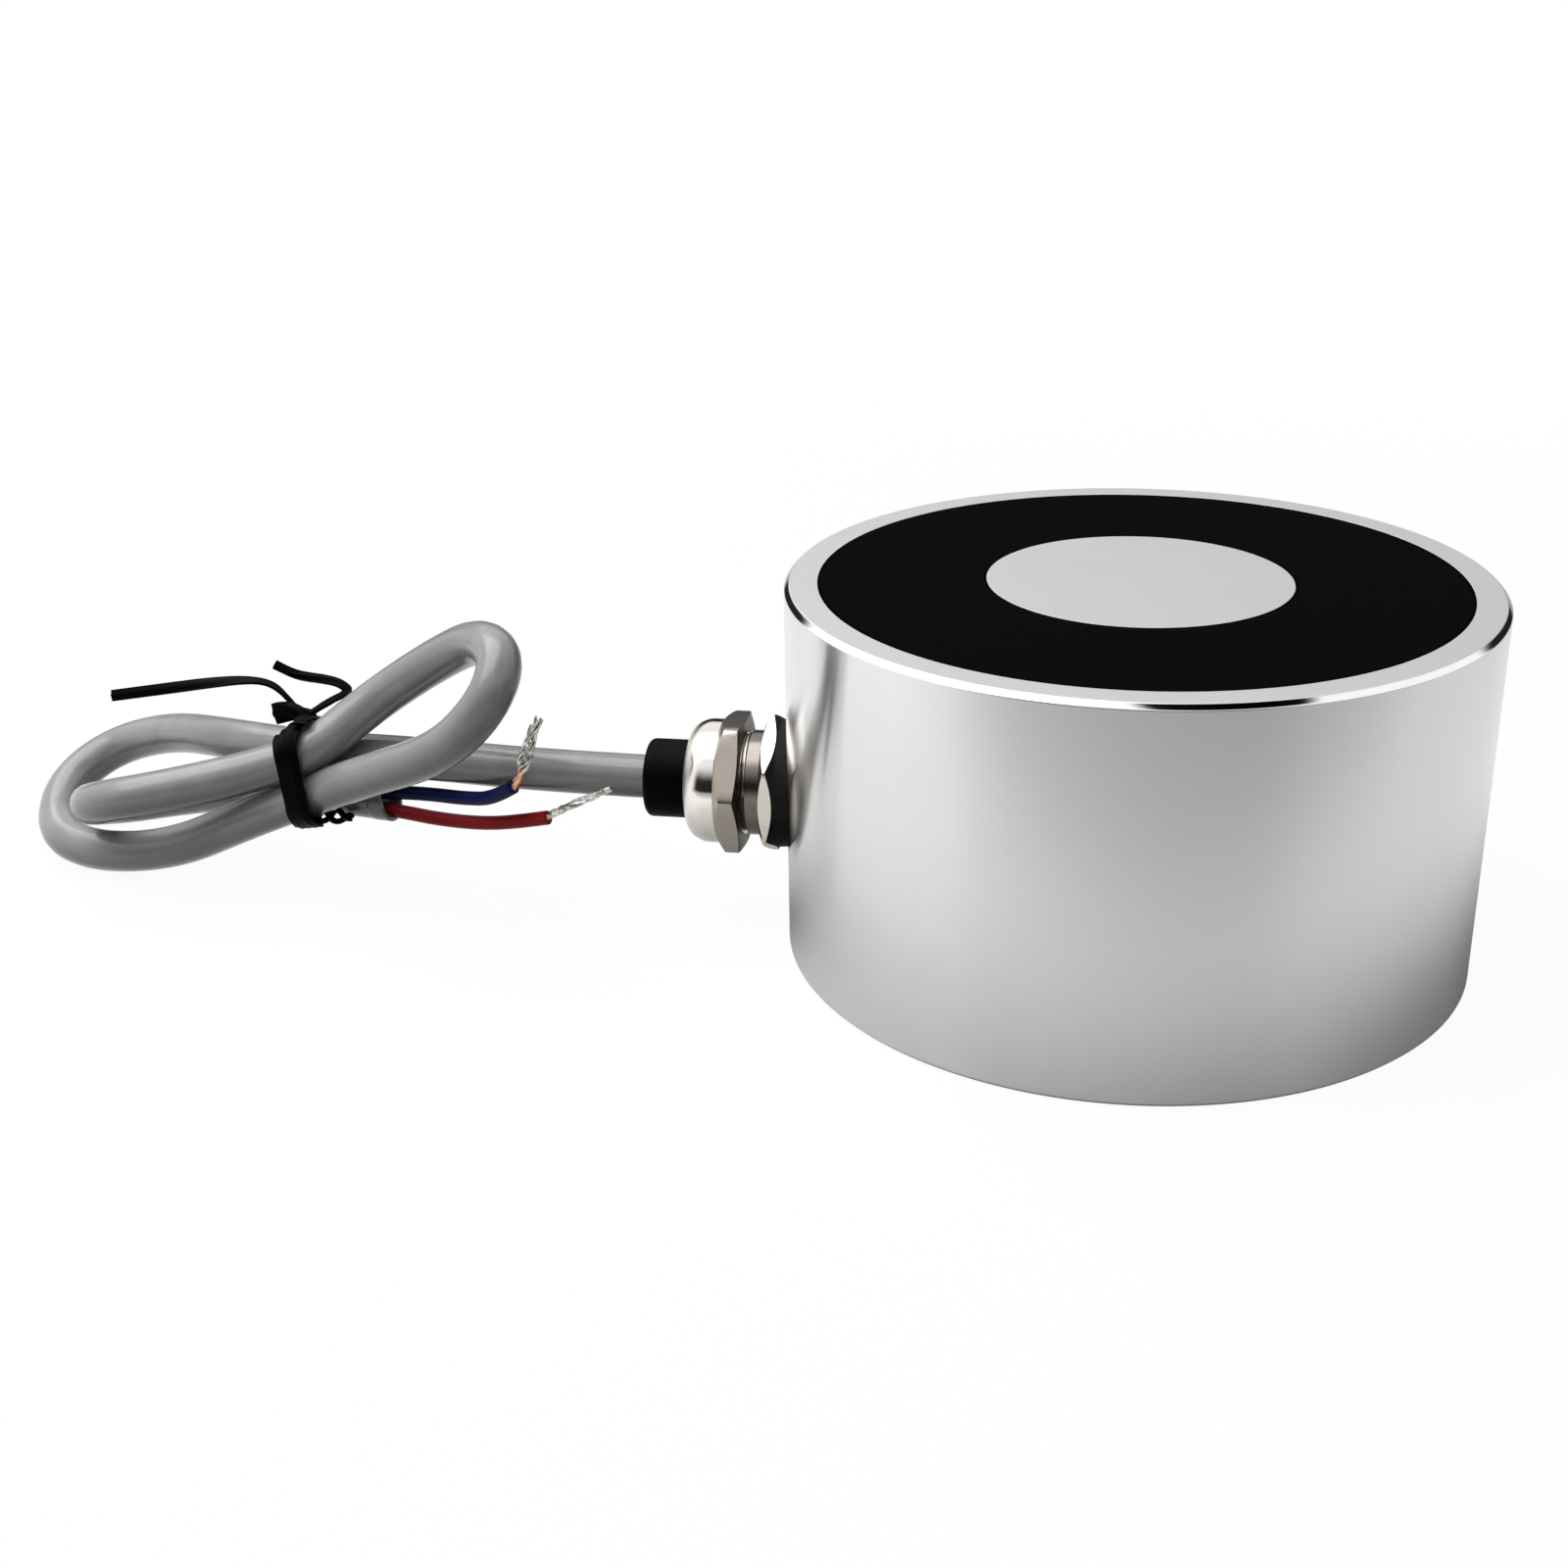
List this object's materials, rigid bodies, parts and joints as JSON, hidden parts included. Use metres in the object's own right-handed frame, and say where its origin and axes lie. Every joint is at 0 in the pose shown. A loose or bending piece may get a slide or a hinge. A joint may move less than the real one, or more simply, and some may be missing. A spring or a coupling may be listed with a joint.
{
  "type": "lifting electromagnet",
  "caption": "Round pot electromagnet with a flat holding face, a potted coil, a tapped back, a side cable gland and a short two-core lead tied in a hank.",
  "frame": {"origin": "centre of the cup's back face, where the mounting thread opens", "axes": "+Z along the cup's axis towards the holding face; the gland and the lead leave along -X"},
  "size_m": [0.1455, 0.063, 0.035],
  "materials": {
    "plated_steel": "bright plated, fine turned",
    "black_resin": "flat matt",
    "bobbin_nylon": "moulded",
    "enamelled_copper": "enamelled wire",
    "coil_tape": "film",
    "shrink_sleeve": "satin",
    "red_insulation": "satin",
    "blue_insulation": "satin",
    "nickel_plate": "polished nickel plate on brass",
    "black_rubber": "smooth",
    "grey_sheath": "satin",
    "tinned_copper": "fine twisted strands",
    "tie_coating": "satin"
  },
  "bodies": {
    "root": {"pot_core": "plated_steel", "potting_compound": "black_resin", "coil_bobbin": "bobbin_nylon", "coil_winding": "enamelled_copper", "coil_tape": "coil_tape", "coil_lead_start": "enamelled_copper", "coil_lead_finish": "enamelled_copper", "splice_sleeve_red": "shrink_sleeve", "splice_sleeve_blue": "shrink_sleeve", "inner_red_core": "red_insulation", "inner_blue_core": "blue_insulation", "gland_body": "nickel_plate", "gland_gasket": "black_rubber", "gland_dome_nut": "nickel_plate", "gland_seal_bush": "black_rubber", "cable_sheath": "grey_sheath", "red_core": "red_insulation", "blue_core": "blue_insulation", "red_strands": "tinned_copper", "blue_strands": "tinned_copper", "twist_tie": "tie_coating"}
  },
  "joints": []
}
